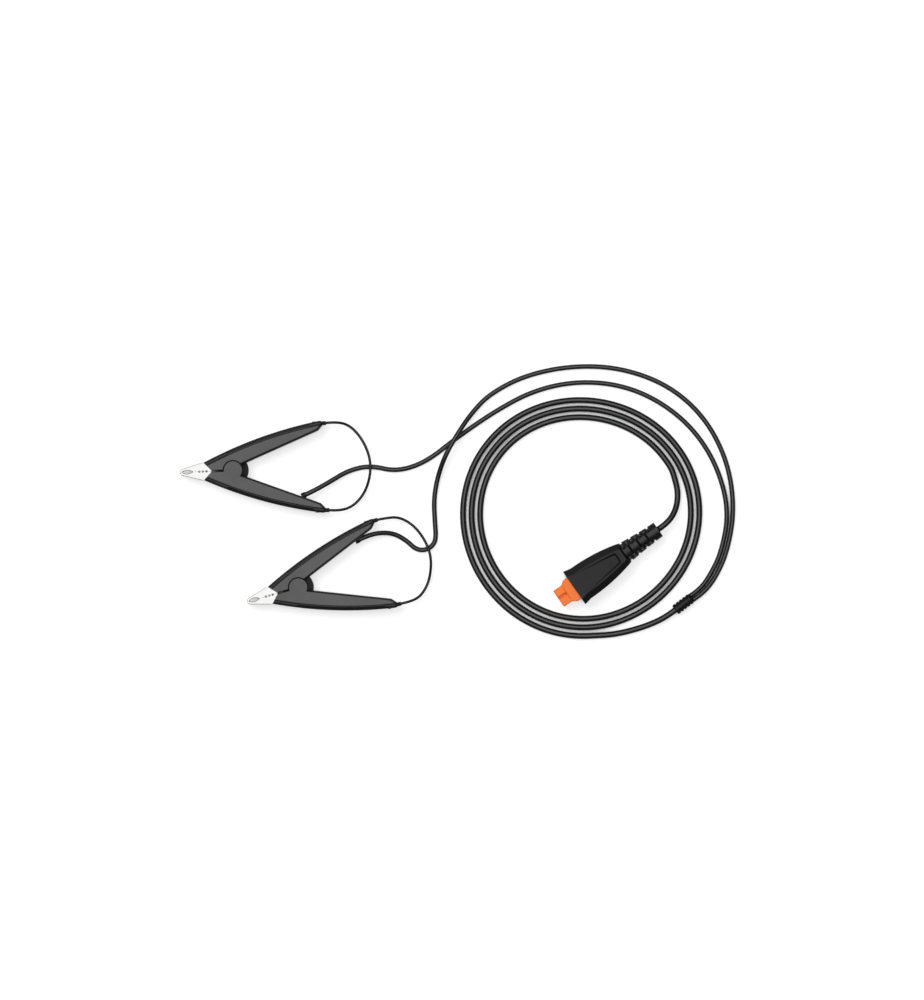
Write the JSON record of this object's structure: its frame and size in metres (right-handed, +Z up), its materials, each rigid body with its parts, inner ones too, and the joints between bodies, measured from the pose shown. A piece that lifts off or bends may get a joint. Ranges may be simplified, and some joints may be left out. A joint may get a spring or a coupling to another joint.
{
  "type": "kelvin clip lead set",
  "caption": "Battery tester lead set: insulated Kelvin clips with sprung metal jaws, branch cords, a splice, a coiled main cord and a keyed plug.",
  "frame": {"origin": "on the surface that the set lies on, under the middle of the clips, splice and plug", "axes": "+X from the clips to the coil, +Y across the set toward the first clip, +Z up"},
  "size_m": [0.4162, 0.2069, 0.017],
  "materials": {
    "cover_plastic": "fine matt moulded grain",
    "grip_plastic": "fine matt moulded grain",
    "jaw_metal": "bright nickel plate",
    "strip_brass": "plain",
    "grommet_rubber": "matt",
    "pin_steel": "plain",
    "drum_plastic": "matt",
    "spring_steel": "drawn",
    "jumper_rubber": "satin",
    "cord_rubber": "satin",
    "branch_rubber": "satin",
    "plug_plastic": "fine matt moulded grain",
    "insert_plastic": "satin moulding",
    "contact_brass": "plated",
    "block_plastic": "plain",
    "screw_steel": "zinc plate",
    "relief_rubber": "matt",
    "splice_rubber": "matt",
    "ferrule_brass": "plain"
  },
  "bodies": {
    "lead_set": {"branch_cord_1": "branch_rubber", "branch_cord_2": "branch_rubber", "clip_1_cord_cover": "cover_plastic", "clip_1_cord_grip": "grip_plastic", "clip_1_cord_grommet": "grommet_rubber", "clip_1_cord_jaw": "jaw_metal", "clip_1_cord_strip": "strip_brass", "clip_1_cord_wire_grommet": "grommet_rubber", "clip_1_jumper_wire": "jumper_rubber", "clip_1_pivot_pin": "pin_steel", "clip_1_spring": "spring_steel", "clip_1_spring_drum": "drum_plastic", "clip_2_cord_cover": "cover_plastic", "clip_2_cord_grip": "grip_plastic", "clip_2_cord_grommet": "grommet_rubber", "clip_2_cord_jaw": "jaw_metal", "clip_2_cord_strip": "strip_brass", "clip_2_cord_wire_grommet": "grommet_rubber", "clip_2_jumper_wire": "jumper_rubber", "clip_2_pivot_pin": "pin_steel", "clip_2_spring": "spring_steel", "clip_2_spring_drum": "drum_plastic", "main_cord_coil": "cord_rubber", "main_cord_plug_end": "cord_rubber", "main_cord_splice_end": "cord_rubber", "plug_contacts": "contact_brass", "plug_insert": "insert_plastic", "plug_lower_shell": "plug_plastic", "plug_screws": "screw_steel", "plug_strain_relief": "relief_rubber", "plug_upper_shell": "plug_plastic", "plug_wire_block": "block_plastic", "splice_bush": "splice_rubber", "splice_ferrules": "ferrule_brass", "splice_sleeve": "splice_rubber"},
    "clip_1_free_half": {"clip_1_free_cover": "cover_plastic", "clip_1_free_grip": "grip_plastic", "clip_1_free_jaw": "jaw_metal", "clip_1_free_strip": "strip_brass", "clip_1_free_wire_grommet": "grommet_rubber"},
    "clip_2_free_half": {"clip_2_free_cover": "cover_plastic", "clip_2_free_grip": "grip_plastic", "clip_2_free_jaw": "jaw_metal", "clip_2_free_strip": "strip_brass", "clip_2_free_wire_grommet": "grommet_rubber"}
  },
  "joints": [
    {"name": "clip_1_squeeze", "type": "hinge", "parent": "lead_set", "child": "clip_1_free_half", "pos_m": [-0.1526, 0.0353, 0.0075], "axis": [0, 0, -1], "range_deg": [0, 26], "stiffness_Nm_per_rad": 0.25, "springref_deg": -20.05, "deforming": ["clip_1_spring", "clip_1_jumper_wire"]},
    {"name": "clip_2_squeeze", "type": "hinge", "parent": "lead_set", "child": "clip_2_free_half", "pos_m": [-0.1038, -0.0523, 0.0075], "axis": [0, 0, 1], "range_deg": [0, 26], "stiffness_Nm_per_rad": 0.25, "springref_deg": -20.05, "deforming": ["clip_2_spring", "clip_2_jumper_wire"]}
  ]
}
